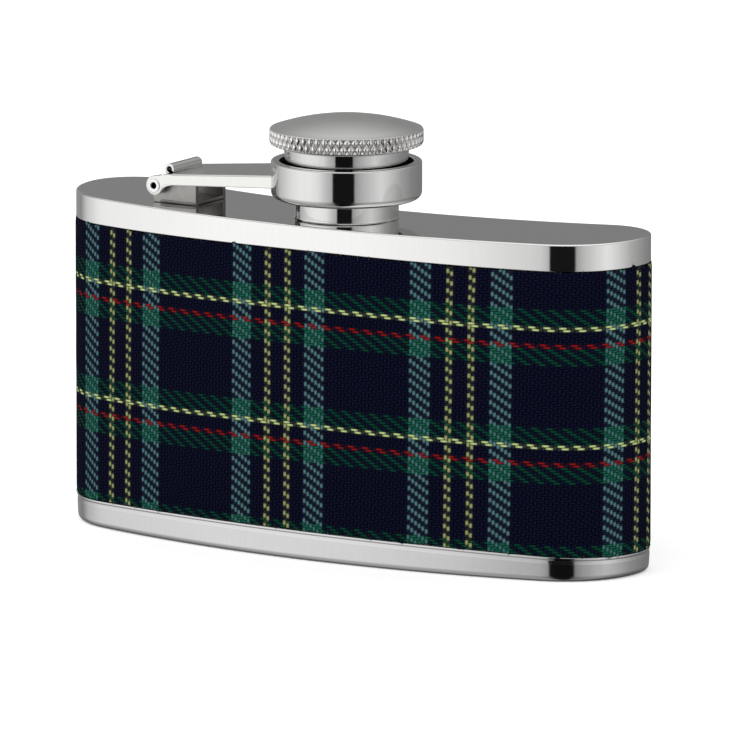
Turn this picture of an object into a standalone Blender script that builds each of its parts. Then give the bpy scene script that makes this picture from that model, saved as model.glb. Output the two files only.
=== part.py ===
"""Hip flask with a fabric wrap and a captive screw cap on a swing arm.

Frame: +Z up, base plane at Z = 0, X along the flask's width, Y through its thickness.
The convex front faces -Y.  The origin is under the middle of the body.
"""
import math

import bmesh
import bpy
from mathutils import Vector

MM = 0.001

# Body plan: a bowed crescent, convex in front and concave behind.
HALF_WIDTH = 47.2 * MM
THICKNESS = 19.0 * MM
FRONT_RADIUS = 148.0 * MM
REAR_RADIUS = 126.0 * MM
FRONT_CORNER = 13.0 * MM
REAR_CORNER = 7.4 * MM
BODY_HEIGHT = 49.3 * MM

# Sheet metal and fabric.
PLATE = 0.6 * MM
SKIRT = 0.4 * MM
SHELL_INSET = 0.7 * MM
SHELL_WALL = 0.5 * MM
TOP_EDGE_RADIUS = 0.5 * MM
BOTTOM_EDGE_RADIUS = 0.9 * MM
TOP_RIM = 3.7 * MM
BOTTOM_RIM = 4.1 * MM
CLEAR = 0.3 * MM
EDGE_BREAK = 0.4 * MM
HELPER_REACH = 2.0 * MM
FABRIC_PROUD = 0.1 * MM
FABRIC_INSET = 0.25 * MM

# Neck and cap, on one vertical axis.
NECK_X = 1.4 * MM
NECK_Y = 1.05 * MM
NECK_COLLAR_RADIUS = 7.6 * MM
NECK_COLLAR_TOP = 52.7 * MM
NECK_THREAD_RADIUS = 6.85 * MM
NECK_BORE_RADIUS = 5.3 * MM
NECK_SPIGOT_RADIUS = 6.5 * MM
NECK_TOP = 56.5 * MM
NECK_FLANGE_RADIUS = 7.2 * MM
NECK_FLANGE_Z = (47.6 * MM, 48.3 * MM)

RING_RADIUS = 11.0 * MM
RING_WALL = 0.7 * MM
RING_Z = (52.05 * MM, 57.65 * MM)
RING_LIP_RADIUS = 9.75 * MM
RING_HOLE_RADIUS = 8.25 * MM
RING_BOTTOM_ROUND = 1.1 * MM
RING_TOP_ROUND = 0.6 * MM

CORE_RADIUS = 8.1 * MM
CORE_BORE_RADIUS = 7.4 * MM
CORE_GROOVE_RADIUS = 7.8 * MM
CORE_Z = (53.2 * MM, 58.4 * MM)
CORE_FLARE = ((8.1 * MM, 57.3 * MM), (9.1 * MM, 59.0 * MM), (9.9 * MM, 59.9 * MM))
CORE_FLANGE_RADIUS = 9.9 * MM
CORE_FLANGE_TOP = 61.0 * MM
CLIP_Z = (54.0 * MM, 54.6 * MM)
CLIP_RADIUS = 10.0 * MM
CLIP_GAP_DEG = 24.0
CLIP_PLAY = 0.2 * MM
SEAL_RADIUS = 7.2 * MM
SEAL_Z = (56.8 * MM, 58.1 * MM)

HEAD_RADIUS = 11.2 * MM
HEAD_WALL = 0.9 * MM
HEAD_Z = (60.0 * MM, 62.4 * MM)
HEAD_SHOULDER_RADIUS = 11.0 * MM
HEAD_SHOULDER_Z = 62.6 * MM
HEAD_TOP = 64.2 * MM
HEAD_EDGE_BREAK = 0.2 * MM
HEAD_ROOF_RISE = 0.6 * MM
HEAD_ROOF_INSET = 2.0 * MM

# Hinge and arm.
PIN_X = -28.13 * MM
PIN_Z = 52.02 * MM
PIN_RADIUS = 0.8 * MM
PIN_BORE = 0.45 * MM
PIN_HOLE = 0.92 * MM
PIN_OVERHANG = 0.15 * MM
ARM_HALF_WIDTH = 5.6 * MM
ARM_TAPER = 0.065
ARM_SHEET = 0.7 * MM
ARM_TOP_Z = 53.6 * MM
ARM_TOP_SLOPE = 0.092
ARM_BOTTOM_Z = 52.06 * MM
ARM_BOTTOM_SLOPE = 0.078
ARM_FROM = -26.4 * MM
ARM_TO = -4.0 * MM
EAR_RADIUS = 1.45 * MM
CURL_X = -26.6 * MM
CURL_Z = 54.15 * MM
CURL_RADIUS = 0.85 * MM
CURL_HALF_LENGTH = 3.9 * MM
CURL_BORE = 0.4 * MM

BRACKET_X = (-29.4 * MM, -21.8 * MM)
BRACKET_HALF_WIDTH = 4.1 * MM
BRACKET_SHEET = 0.8 * MM
BRACKET_LUG = 1.35 * MM
BRACKET_SHOULDER_X = -26.9 * MM
BRACKET_TOP = (52.4 * MM, 52.7 * MM)

ARC_STEPS = 14
CORNER_STEPS = 6
ROUND_STEPS = 48
SMALL_STEPS = 20
AXIS_TOLERANCE = 0.001 * MM


# Helpers.

def clear_scene():
    for item in list(bpy.data.objects):
        bpy.data.objects.remove(item, do_unlink=True)


def make_material(name, colour, roughness, metallic):
    material = bpy.data.materials.new(name)
    material.use_nodes = True
    shader = material.node_tree.nodes["Principled BSDF"]
    shader.inputs["Base Color"].default_value = (*colour, 1.0)
    shader.inputs["Roughness"].default_value = roughness
    shader.inputs["Metallic"].default_value = metallic
    return material


def make_empty(name, location, parent=None):
    empty = bpy.data.objects.new(name, None)
    empty["world"] = location
    offset = Vector(parent["world"]) if parent else Vector()
    empty.location = Vector(location) - offset
    empty.parent = parent
    bpy.context.collection.objects.link(empty)
    return empty


def add_object(name, bm, parent=None, finish=None):
    """Links a mesh built in world coordinates, with its origin on its parent."""
    origin = Vector(parent["world"]) if parent else Vector()
    bmesh.ops.translate(bm, verts=bm.verts, vec=-origin)
    bmesh.ops.recalc_face_normals(bm, faces=bm.faces)
    if bm.calc_volume(signed=True) < 0:
        bmesh.ops.reverse_faces(bm, faces=bm.faces)
    mesh = bpy.data.meshes.new(name)
    bm.to_mesh(mesh)
    bm.free()
    mesh.shade_smooth()
    mesh.set_sharp_from_angle(angle=math.radians(32))
    item = bpy.data.objects.new(name, mesh)
    item.parent = parent
    if finish:
        mesh.materials.append(make_material(name + "_finish", *finish))
    bpy.context.collection.objects.link(item)
    return item


def add_boolean(target, name, bm, operation):
    """Cuts or joins a helper solid, which stays hidden."""
    helper = add_object(name, bm, target.parent)
    helper.hide_render = True
    helper.display_type = "WIRE"
    modifier = target.modifiers.new(name, "BOOLEAN")
    modifier.operation = operation
    modifier.solver = "EXACT"
    modifier.object = helper
    return helper


def loft(bm, rings, closed=False):
    """Joins equal rings of points with quads, and caps the ends unless closed."""
    loops = [[bm.verts.new(point) for point in ring] for ring in rings]
    pairs = list(zip(loops, loops[1:]))
    if closed:
        pairs.append((loops[-1], loops[0]))
    for low, high in pairs:
        count = len(low)
        for i in range(count):
            j = (i + 1) % count
            bm.faces.new((low[i], low[j], high[j], high[i]))
    if not closed:
        bm.faces.new(loops[0])
        bm.faces.new(loops[-1])
    return bm


def lathe(profile, centre=(NECK_X, NECK_Y), steps=ROUND_STEPS):
    """Turns a closed (radius, z) profile about a vertical axis."""
    bm = bmesh.new()
    verts = [bm.verts.new((centre[0] + r, centre[1], z)) for r, z in profile]
    edges = []
    for i, (radius, _) in enumerate(profile):
        j = (i + 1) % len(profile)
        if max(radius, profile[j][0]) > AXIS_TOLERANCE:
            edges.append(bm.edges.new((verts[i], verts[j])))
    bmesh.ops.spin(bm, geom=edges, cent=(*centre, 0), axis=(0, 0, 1),
                   angle=2 * math.pi, steps=steps, use_merge=True)
    bmesh.ops.remove_doubles(bm, verts=bm.verts, dist=0.00001)
    return bm


def arc(centre, radius, start_deg, end_deg, steps):
    """Points along an arc in a plane, both ends included."""
    points = []
    for i in range(steps + 1):
        angle = math.radians(start_deg + (end_deg - start_deg) * i / steps)
        points.append((centre[0] + radius * math.cos(angle),
                       centre[1] + radius * math.sin(angle)))
    return points


def slab(outline_xz, y_low, y_high):
    """Extrudes an outline drawn in X and Z along Y; the sides may depend on X."""
    bm = bmesh.new()
    rings = [[(x, side(x), z) for x, z in outline_xz] for side in (y_low, y_high)]
    return loft(bm, rings)


def rod(x, z, radius, y_low, y_high, steps=SMALL_STEPS):
    circle = arc((x, z), radius, 0, 360, steps)[:-1]
    return slab(circle, lambda _: y_low, lambda _: y_high)


def box(x, y, z):
    outline = [(x[0], z[0]), (x[1], z[0]), (x[1], z[1]), (x[0], z[1])]
    return slab(outline, lambda _: y[0], lambda _: y[1])


# Body plan.

def half_outline(inset):
    """Right half of the plan, from the front middle round the end to the rear middle."""
    front = FRONT_RADIUS - inset
    rear = REAR_RADIUS + inset
    corner_front = FRONT_CORNER - inset
    corner_rear = REAR_CORNER - inset
    front_centre = FRONT_RADIUS - THICKNESS / 2
    rear_centre = REAR_RADIUS + THICKNESS / 2
    front_x = HALF_WIDTH - FRONT_CORNER
    rear_x = HALF_WIDTH - REAR_CORNER
    front_turn = math.asin(front_x / (FRONT_RADIUS - FRONT_CORNER))
    rear_turn = math.asin(rear_x / (REAR_RADIUS + REAR_CORNER))
    front_y = front_centre - (FRONT_RADIUS - FRONT_CORNER) * math.cos(front_turn)
    rear_y = rear_centre - (REAR_RADIUS + REAR_CORNER) * math.cos(rear_turn)
    front_deg = math.degrees(front_turn)
    rear_deg = math.degrees(rear_turn)
    points = arc((0, front_centre), front, -90, -90 + front_deg, ARC_STEPS)
    points += arc((front_x, front_y), corner_front, -90 + front_deg, 0, CORNER_STEPS)[1:]
    points += arc((rear_x, rear_y), corner_rear, 0, 90 + rear_deg, CORNER_STEPS)
    points += arc((0, rear_centre), rear, -90 + rear_deg, -90, ARC_STEPS)[1:]
    return points


def plan_ring(inset, z):
    """Closed ring of points round the body at one height."""
    half = half_outline(inset)
    mirrored = [(-x, y) for x, y in reversed(half[1:-1])]
    return [(x, y, z) for x, y in half + mirrored]


def edge_rings(inset, radius, z_corner, start_deg, end_deg, steps):
    """Rings round a rounded edge whose arc centre is (inset, z_corner)."""
    turns = arc((0, 0), radius, start_deg, end_deg, steps)
    return [plan_ring(inset - across, z_corner + up) for across, up in turns]


def body_shell():
    bm = bmesh.new()
    low = BOTTOM_EDGE_RADIUS
    high = BODY_HEIGHT - PLATE - CLEAR
    inner = SHELL_INSET + SHELL_WALL
    rings = [plan_ring(SHELL_INSET, low), plan_ring(SHELL_INSET, high),
             plan_ring(inner, high), plan_ring(inner, low)]
    return add_object("body_shell", loft(bm, rings, closed=True), None, ((0.62, 0.62, 0.6), 0.3, 1))


def top_pan():
    bm = bmesh.new()
    low = BODY_HEIGHT - TOP_RIM
    r = TOP_EDGE_RADIUS
    rings = [plan_ring(SKIRT, BODY_HEIGHT - PLATE), plan_ring(SKIRT, low), plan_ring(0, low)]
    rings += edge_rings(r, r, BODY_HEIGHT - r, 0, 90, 3)
    pan = add_object("top_pan", loft(bm, rings), None, ((0.66, 0.66, 0.65), 0.12, 1))
    hole = NECK_SPIGOT_RADIUS + CLEAR
    span = [(0, NECK_FLANGE_Z[0]), (hole, NECK_FLANGE_Z[0]),
            (hole, BODY_HEIGHT + PLATE), (0, BODY_HEIGHT + PLATE)]
    add_boolean(pan, "neck_hole", lathe(span), "DIFFERENCE")
    return pan


def bottom_pan():
    bm = bmesh.new()
    r = BOTTOM_EDGE_RADIUS
    rings = edge_rings(r, r - SKIRT, r, 270, 360, 4)
    rings += [plan_ring(SKIRT, BOTTOM_RIM), plan_ring(0, BOTTOM_RIM)]
    rings += edge_rings(r, r, r, 360, 270, 4)
    return add_object("bottom_pan", loft(bm, rings), None, ((0.66, 0.66, 0.65), 0.15, 1))


def fabric_wrap():
    bm = bmesh.new()
    low = BOTTOM_RIM + CLEAR
    high = BODY_HEIGHT - TOP_RIM - CLEAR
    rings = [plan_ring(-FABRIC_PROUD, low), plan_ring(-FABRIC_PROUD, high),
             plan_ring(FABRIC_INSET, high), plan_ring(FABRIC_INSET, low)]
    return add_object("fabric_wrap", loft(bm, rings, closed=True), None, ((0.02, 0.03, 0.06), 0.9, 0))


# Neck.

def neck():
    collar_low = BODY_HEIGHT + CLEAR
    profile = [(NECK_BORE_RADIUS, NECK_FLANGE_Z[0]), (NECK_FLANGE_RADIUS, NECK_FLANGE_Z[0]),
               (NECK_FLANGE_RADIUS, NECK_FLANGE_Z[1]), (NECK_SPIGOT_RADIUS, NECK_FLANGE_Z[1]),
               (NECK_SPIGOT_RADIUS, collar_low), (NECK_COLLAR_RADIUS, collar_low),
               (NECK_COLLAR_RADIUS, NECK_COLLAR_TOP - EDGE_BREAK),
               (NECK_COLLAR_RADIUS - EDGE_BREAK, NECK_COLLAR_TOP),
               (NECK_THREAD_RADIUS, NECK_COLLAR_TOP), (NECK_THREAD_RADIUS, NECK_TOP - EDGE_BREAK),
               (NECK_THREAD_RADIUS - EDGE_BREAK, NECK_TOP), (NECK_BORE_RADIUS, NECK_TOP)]
    return add_object("neck", lathe(profile), None, ((0.6, 0.6, 0.58), 0.15, 1))


# Hinge.

def arm_half_width(x):
    return ARM_HALF_WIDTH + ARM_TAPER * (x - PIN_X)


def arm_top(x):
    return ARM_TOP_Z + ARM_TOP_SLOPE * (x - ARM_FROM)


def arm_bottom(x):
    return ARM_BOTTOM_Z + ARM_BOTTOM_SLOPE * (x - ARM_FROM)


def hinge_bracket():
    low = BODY_HEIGHT + CLEAR
    lug = arc((PIN_X, PIN_Z), BRACKET_LUG, 180, 30, 8)
    side = [(BRACKET_X[1], low), (BRACKET_X[0], low), *lug,
            (BRACKET_SHOULDER_X, BRACKET_TOP[0]), (BRACKET_X[1], BRACKET_TOP[1])]
    front = NECK_Y - BRACKET_HALF_WIDTH
    rear = NECK_Y + BRACKET_HALF_WIDTH
    base = box(BRACKET_X, (front, rear), (low, low + BRACKET_SHEET))
    bracket = add_object("hinge_bracket", base, None, ((0.5, 0.5, 0.48), 0.2, 1))
    for name, edge, inward in (("front_cheek", front, 1), ("rear_cheek", rear, -1)):
        near = min(edge, edge + inward * BRACKET_SHEET)
        cheek = slab(side, lambda _, y=near: y, lambda _, y=near: y + BRACKET_SHEET)
        add_boolean(bracket, name, cheek, "UNION")
    hole = rod(PIN_X, PIN_Z, PIN_HOLE, front - HELPER_REACH, rear + HELPER_REACH)
    add_boolean(bracket, "bracket_pin_hole", hole, "DIFFERENCE")
    return bracket


def hinge_pin():
    reach = ARM_HALF_WIDTH + PIN_OVERHANG
    pin = add_object("hinge_pin", rod(PIN_X, PIN_Z, PIN_RADIUS, NECK_Y - reach, NECK_Y + reach),
                     None, ((0.6, 0.6, 0.58), 0.25, 1))
    bore = rod(PIN_X, PIN_Z, PIN_BORE, NECK_Y - 2 * reach, NECK_Y + 2 * reach)
    add_boolean(pin, "pin_bore", bore, "DIFFERENCE")
    return pin


def swing_arm(hinge_axis):
    """U channel: a web over two side flanges that end in ears round the pin."""
    ear = arc((PIN_X, PIN_Z), EAR_RADIUS, 90, 360, 14)
    side = [(ARM_TO, arm_bottom(ARM_TO)), (ARM_TO, arm_top(ARM_TO)),
            (ARM_FROM, arm_top(ARM_FROM)), *ear]
    web_side = [(ARM_FROM, arm_top(ARM_FROM) - ARM_SHEET), (ARM_TO, arm_top(ARM_TO) - ARM_SHEET),
                (ARM_TO, arm_top(ARM_TO)), (ARM_FROM, arm_top(ARM_FROM))]
    inner = 0.5 * ARM_SHEET
    web = slab(web_side, lambda x: NECK_Y - arm_half_width(x) + inner,
               lambda x: NECK_Y + arm_half_width(x) - inner)
    arm = add_object("swing_arm", web, hinge_axis, ((0.62, 0.62, 0.6), 0.15, 1))
    front = slab(side, lambda x: NECK_Y - arm_half_width(x),
                 lambda x: NECK_Y - arm_half_width(x) + ARM_SHEET)
    rear = slab(side, lambda x: NECK_Y + arm_half_width(x) - ARM_SHEET,
                lambda x: NECK_Y + arm_half_width(x))
    add_boolean(arm, "front_flange", front, "UNION")
    add_boolean(arm, "rear_flange", rear, "UNION")
    curl = rod(CURL_X, CURL_Z, CURL_RADIUS, NECK_Y - CURL_HALF_LENGTH, NECK_Y + CURL_HALF_LENGTH)
    add_boolean(arm, "curl", curl, "UNION")
    reach = 2 * ARM_HALF_WIDTH
    curl_bore = rod(CURL_X, CURL_Z, CURL_BORE, NECK_Y - reach, NECK_Y + reach, 12)
    add_boolean(arm, "curl_bore", curl_bore, "DIFFERENCE")
    hole = rod(PIN_X, PIN_Z, PIN_HOLE, NECK_Y - reach, NECK_Y + reach)
    add_boolean(arm, "arm_pin_hole", hole, "DIFFERENCE")
    scoop = RING_RADIUS + CLEAR
    around_ring = [(0, RING_Z[0] - scoop), (scoop, RING_Z[0] - scoop),
                   (scoop, RING_Z[1] + scoop), (0, RING_Z[1] + scoop)]
    add_boolean(arm, "ring_scoop", lathe(around_ring, steps=64), "DIFFERENCE")
    return arm


def retaining_ring(hinge_axis):
    """Cup with a turned-in lip above and a holed floor below."""
    low, high = RING_Z
    bottom = RING_BOTTOM_ROUND
    top = RING_TOP_ROUND
    outer = arc((RING_RADIUS - bottom, low + bottom), bottom, 270, 360, 4)
    outer += arc((RING_RADIUS - top, high - top), top, 0, 90, 3)
    inner_radius = RING_RADIUS - RING_WALL
    inner = [(RING_LIP_RADIUS, high), (RING_LIP_RADIUS, high - RING_WALL),
             (inner_radius, high - RING_WALL), (inner_radius, low + bottom),
             (inner_radius - bottom + RING_WALL, low + RING_WALL),
             (RING_HOLE_RADIUS, low + RING_WALL), (RING_HOLE_RADIUS, low)]
    return add_object("retaining_ring", lathe(outer + inner), hinge_axis, ((0.66, 0.66, 0.65), 0.12, 1))


# Cap.

def cap_clip(lift_axis):
    """Split ring in the core's groove; a wedge is cut out for its gap."""
    inner = CORE_GROOVE_RADIUS + CLIP_PLAY
    profile = [(inner, CLIP_Z[0]), (CLIP_RADIUS, CLIP_Z[0]),
               (CLIP_RADIUS, CLIP_Z[1]), (inner, CLIP_Z[1])]
    clip = add_object("cap_clip", lathe(profile), lift_axis, ((0.55, 0.55, 0.53), 0.3, 1))
    spread = CLIP_RADIUS * math.tan(math.radians(CLIP_GAP_DEG / 2))
    gap = box((NECK_X + inner / 2, NECK_X + 2 * CLIP_RADIUS),
              (NECK_Y - spread, NECK_Y + spread),
              (CLIP_Z[0] - HELPER_REACH, CLIP_Z[1] + HELPER_REACH))
    add_boolean(clip, "clip_gap", gap, "DIFFERENCE")
    return clip


def cap_core(turn_axis):
    """Threaded socket with a groove for the clip, flared out to a flange inside the head."""
    low, roof = CORE_Z
    groove_low = CLIP_Z[0] - CLEAR
    groove_high = CLIP_Z[1] + CLEAR
    profile = [(0, roof), (CORE_BORE_RADIUS, roof), (CORE_BORE_RADIUS, low), (CORE_RADIUS, low),
               (CORE_RADIUS, groove_low), (CORE_GROOVE_RADIUS, groove_low),
               (CORE_GROOVE_RADIUS, groove_high), (CORE_RADIUS, groove_high),
               *CORE_FLARE, (CORE_FLANGE_RADIUS, CORE_FLANGE_TOP), (0, CORE_FLANGE_TOP)]
    return add_object("cap_core", lathe(profile), turn_axis, ((0.64, 0.64, 0.62), 0.15, 1))


def cap_seal(turn_axis):
    low, high = SEAL_Z
    profile = [(0, low), (SEAL_RADIUS, low), (SEAL_RADIUS, high), (0, high)]
    return add_object("cap_seal", lathe(profile, steps=32), turn_axis, ((0.8, 0.8, 0.78), 0.6, 0))


def dome(rim_radius, rim_z, top_z, steps):
    """Profile points of a spherical cap from its rim to its middle."""
    rise = top_z - rim_z
    radius = (rim_radius ** 2 + rise ** 2) / (2 * rise)
    start = math.degrees(math.acos(rim_radius / radius))
    return arc((0, top_z - radius), radius, start, 90, steps)


def cap_shell(turn_axis):
    """Pressed dome over a plain band, hollow inside and open below."""
    low, high = HEAD_Z
    inner = HEAD_RADIUS - HEAD_WALL
    roof = CORE_FLANGE_TOP + CLEAR
    outer = [(inner, low), (HEAD_RADIUS - HEAD_EDGE_BREAK, low), (HEAD_RADIUS, low + HEAD_EDGE_BREAK),
             (HEAD_RADIUS, high)]
    outer += dome(HEAD_SHOULDER_RADIUS, HEAD_SHOULDER_Z, HEAD_TOP, 8)
    profile = outer + [(0, roof + 2 * HEAD_ROOF_RISE), (inner - HEAD_ROOF_INSET, roof + HEAD_ROOF_RISE),
                       (inner, roof)]
    return add_object("cap_shell", lathe(profile), turn_axis, ((0.6, 0.6, 0.59), 0.28, 1))


def build():
    clear_scene()
    hinge_axis = make_empty("lid_hinge_axis", (PIN_X, NECK_Y, PIN_Z))
    lift_axis = make_empty("cap_lift_axis", (NECK_X, NECK_Y, CORE_Z[0]), hinge_axis)
    turn_axis = make_empty("cap_turn_axis", (NECK_X, NECK_Y, CORE_Z[1]), lift_axis)
    body_shell()
    top_pan()
    bottom_pan()
    fabric_wrap()
    neck()
    hinge_bracket()
    hinge_pin()
    swing_arm(hinge_axis)
    retaining_ring(hinge_axis)
    cap_clip(lift_axis)
    cap_core(turn_axis)
    cap_seal(turn_axis)
    cap_shell(turn_axis)


build()
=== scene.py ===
import math
import random

import bmesh
import bpy
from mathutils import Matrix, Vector, noise


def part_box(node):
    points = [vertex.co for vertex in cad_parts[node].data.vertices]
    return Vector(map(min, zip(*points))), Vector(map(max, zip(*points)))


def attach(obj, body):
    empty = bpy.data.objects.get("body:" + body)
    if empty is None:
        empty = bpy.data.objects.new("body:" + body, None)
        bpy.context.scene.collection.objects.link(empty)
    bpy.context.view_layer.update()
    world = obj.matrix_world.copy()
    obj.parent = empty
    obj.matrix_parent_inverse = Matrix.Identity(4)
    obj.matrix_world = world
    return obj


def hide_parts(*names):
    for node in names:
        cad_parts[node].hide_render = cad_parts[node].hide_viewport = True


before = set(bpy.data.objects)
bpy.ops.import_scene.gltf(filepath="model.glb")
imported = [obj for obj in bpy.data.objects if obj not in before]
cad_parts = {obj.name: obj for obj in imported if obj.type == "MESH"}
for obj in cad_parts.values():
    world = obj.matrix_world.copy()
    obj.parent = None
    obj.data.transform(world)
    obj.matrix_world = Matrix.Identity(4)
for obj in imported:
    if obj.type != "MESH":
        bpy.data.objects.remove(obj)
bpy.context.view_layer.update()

mm = 0.001  # lengths below are in millimetres, and the frame is in metres
fullTurn = 2 * math.pi
print("flask: frame loaded with", len(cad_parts), "nodes")


# Helpers for shader trees: a feed is either a socket or a plain value.

def put(tree, kind, feeds=None, **settings):
    node = tree.nodes.new("ShaderNode" + kind)
    for name, value in settings.items():
        setattr(node, name, value)
    for key, feed in (feeds or {}).items():
        if isinstance(feed, bpy.types.NodeSocket):
            tree.links.new(feed, node.inputs[key])
        else:
            node.inputs[key].default_value = feed
    return node


def calc(tree, operation, *feeds):
    return put(tree, "Math", dict(enumerate(feeds)), operation=operation).outputs[0]


def times(tree, first, second):
    return calc(tree, "MULTIPLY", first, second)


def line(tree, value, slope, start):  # value * slope + start
    return calc(tree, "MULTIPLY_ADD", value, slope, start)


def ramp(tree, feed, stops, steps=False):
    node = put(tree, "ValToRGB", {"Fac": feed})
    node.color_ramp.interpolation = "CONSTANT" if steps else "LINEAR"
    elements = node.color_ramp.elements
    while len(elements) < len(stops):
        elements.new(0.5)
    for element, (place, colour) in zip(elements, stops):
        element.position = place
        element.color = (*colour, 1) if hasattr(colour, "__len__") else (colour, colour, colour, 1)
    return node.outputs["Color"]


def mixColour(tree, share, first, second, mode="MIX"):
    node = put(tree, "Mix", {0: share, 6: first, 7: second}, data_type="RGBA", blend_type=mode)
    return node.outputs[2]


def readValue(tree, name):  # a value that the mesh carries at its points
    return put(tree, "Attribute", attribute_name=name).outputs["Fac"]


def grainNoise(tree, stretch, detail=2.0):  # noise with features of about stretch mm
    place = put(tree, "TexCoord").outputs["Object"]
    size = tuple(1 / (mm * length) for length in stretch)
    moved = put(tree, "Mapping", {"Vector": place, "Scale": size}).outputs[0]
    return put(tree, "TexNoise", {"Vector": moved, "Scale": 1.0, "Detail": detail}).outputs["Fac"]


def newGroup(name, inputs, outputs):
    group = bpy.data.node_groups.new(name, "ShaderNodeTree")
    kind = {"socket_type": "NodeSocketFloat"}
    for label, value in inputs.items():
        group.interface.new_socket(label, in_out="INPUT", **kind).default_value = value
    for label in outputs:
        group.interface.new_socket(label, in_out="OUTPUT", **kind)
    return group, group.nodes.new("NodeGroupInput").outputs, group.nodes.new("NodeGroupOutput").inputs


def giveOut(group, result, **sockets):
    for label, socket in sockets.items():
        group.links.new(socket, result[label])


def placeGroup(tree, group, **feeds):
    node = put(tree, "Group", node_tree=group)
    for key, feed in feeds.items():
        node.inputs[key].default_value = feed
    return node.outputs


def newMaterial(name):
    material = bpy.data.materials.new(name)
    material.use_nodes = True
    tree = material.node_tree
    return material, tree, tree.nodes["Principled BSDF"]


def finishSurface(tree, shader, colour, rough, height, strength, depth):  # depth is in millimetres
    relief = put(tree, "Bump", {"Height": height, "Strength": strength, "Distance": depth * mm})
    for key, socket in (("Base Color", colour), ("Roughness", rough), ("Normal", relief.outputs[0])):
        tree.links.new(socket, shader.inputs[key])


# Shared surface effects.

def makeEdgeWear():
    group, given, result = newGroup("edgeWear", {"Amount": 1.0, "Patchiness": 0.5}, ["Mask"])
    patches = grainNoise(group, (1.1, 1.1, 1.1), 4.0)
    soft = line(group, patches, given["Patchiness"], 0.5)
    edge = calc(group, "POWER", readValue(group, "wear"), 1.5)
    worn = times(group, edge, soft)
    giveOut(group, result, Mask=times(group, worn, given["Amount"]))
    return group


def makeHandling():
    group, given, result = newGroup("handlingMarks", {"Smudge": 0.04, "Scratch": 0.03, "Base": 0.07},
                                    ["Roughness", "Height", "Tone"])
    smudge = grainNoise(group, (9, 9, 6), 3.0)
    hair = grainNoise(group, (0.25, 0.25, 5), 2.0)
    nicks = calc(group, "GREATER_THAN", grainNoise(group, (0.7, 2.5, 0.12), 5.0), 0.69)
    rough = line(group, smudge, given["Smudge"], given["Base"])
    rough = line(group, nicks, given["Scratch"], rough)
    height = line(group, smudge, 6.0, times(group, hair, 0.08))
    giveOut(group, result, Roughness=rough, Height=height, Tone=line(group, hair, 0.06, 0.95))
    return group


def makeBlasted():
    group, given, result = newGroup("blastedGrain", {"Grain": 0.16, "Base": 0.36},
                                    ["Roughness", "Height", "Tone"])
    pits = grainNoise(group, (0.11, 0.11, 0.11), 3.0)
    cloud = grainNoise(group, (5, 5, 5), 2.0)
    rough = line(group, pits, given["Grain"], given["Base"])
    tone = line(group, cloud, 0.08, line(group, pits, 0.10, 0.86))
    giveOut(group, result, Roughness=rough, Height=pits, Tone=tone)
    return group


def makeDust():
    group, given, result = newGroup("fineDust", {"Amount": 0.3}, ["Mask"])
    specks = calc(group, "GREATER_THAN", grainNoise(group, (0.16, 0.16, 0.16), 1.0), 0.74)
    settled = times(group, specks, grainNoise(group, (14, 14, 14), 2.0))
    giveOut(group, result, Mask=times(group, settled, given["Amount"]))
    return group


def makeTwill():
    # Two-over-two twill: ends are counted to the right, picks upwards, and the lines run down to the right.
    group, given, result = newGroup("twillWeave", {"Ends": 0.0, "Picks": 0.0},
                                    ["End", "Pick", "WarpUp", "Height", "Ply"])
    end, pick = (calc(group, "FLOOR", given[key]) for key in ("Ends", "Picks"))
    acrossEnd, acrossPick = (calc(group, "FRACT", given[key]) for key in ("Ends", "Picks"))
    turn = calc(group, "FLOORED_MODULO", calc(group, "ADD", end, pick), 4.0)
    warpUp = calc(group, "LESS_THAN", turn, 1.5)

    def bulge(value):  # 0 at both sides of a yarn and 1 along its middle
        side = line(group, value, 2.0, -1.0)
        rest = calc(group, "SUBTRACT", 1.0, times(group, side, side))
        return calc(group, "SQRT", calc(group, "MAXIMUM", rest, 0.0))

    def floatHeight(steps, along, across):
        share = times(group, calc(group, "ADD", steps, along), 0.5)
        arch = line(group, bulge(share), 0.6, 0.4)
        return times(group, arch, bulge(across))

    warpHeight = floatHeight(turn, acrossPick, acrossEnd)
    weftHeight = floatHeight(calc(group, "SUBTRACT", turn, 2.0), acrossEnd, acrossPick)
    height = calc(group, "ADD", times(group, warpHeight, warpUp),
                  times(group, weftHeight, calc(group, "SUBTRACT", 1.0, warpUp)))
    fine = put(group, "CombineXYZ", {i: times(group, given[key], 3.0)
                                     for i, key in enumerate(("Ends", "Picks"))}).outputs[0]
    ply = put(group, "TexNoise", {"Vector": fine, "Scale": 1.0, "Detail": 3.0}).outputs["Fac"]
    giveOut(group, result, End=end, Pick=pick, WarpUp=warpUp, Height=height, Ply=ply)
    return group


edgeWear, handlingMarks, blastedGrain = makeEdgeWear(), makeHandling(), makeBlasted()
fineDust, twillWeave = makeDust(), makeTwill()


# Metals.

metalMarks = {
    "edgeWear": 0.8,
    "dust": 0.25,
    "rubbedTint": (0.86, 0.85, 0.83, 1),
    "rubbedRough": 0.12,
    "dustTint": (0.45, 0.43, 0.4, 1),
    "dustRough": 0.4,
}
satinMarks = {
    "edgeWear": 0.7,
    "rubbedTint": (0.85, 0.85, 0.84, 1),
    "cutTint": (0.88, 0.87, 0.85, 1),  # the knurling's cut flanks are brighter than the blasted top
    "grooveShadeTint": (0.06, 0.055, 0.05, 1),  # and its groove floors are painted near black, as painted shade
    "cutRough": -0.25,
    "grooveRough": 0.25,
}


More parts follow.
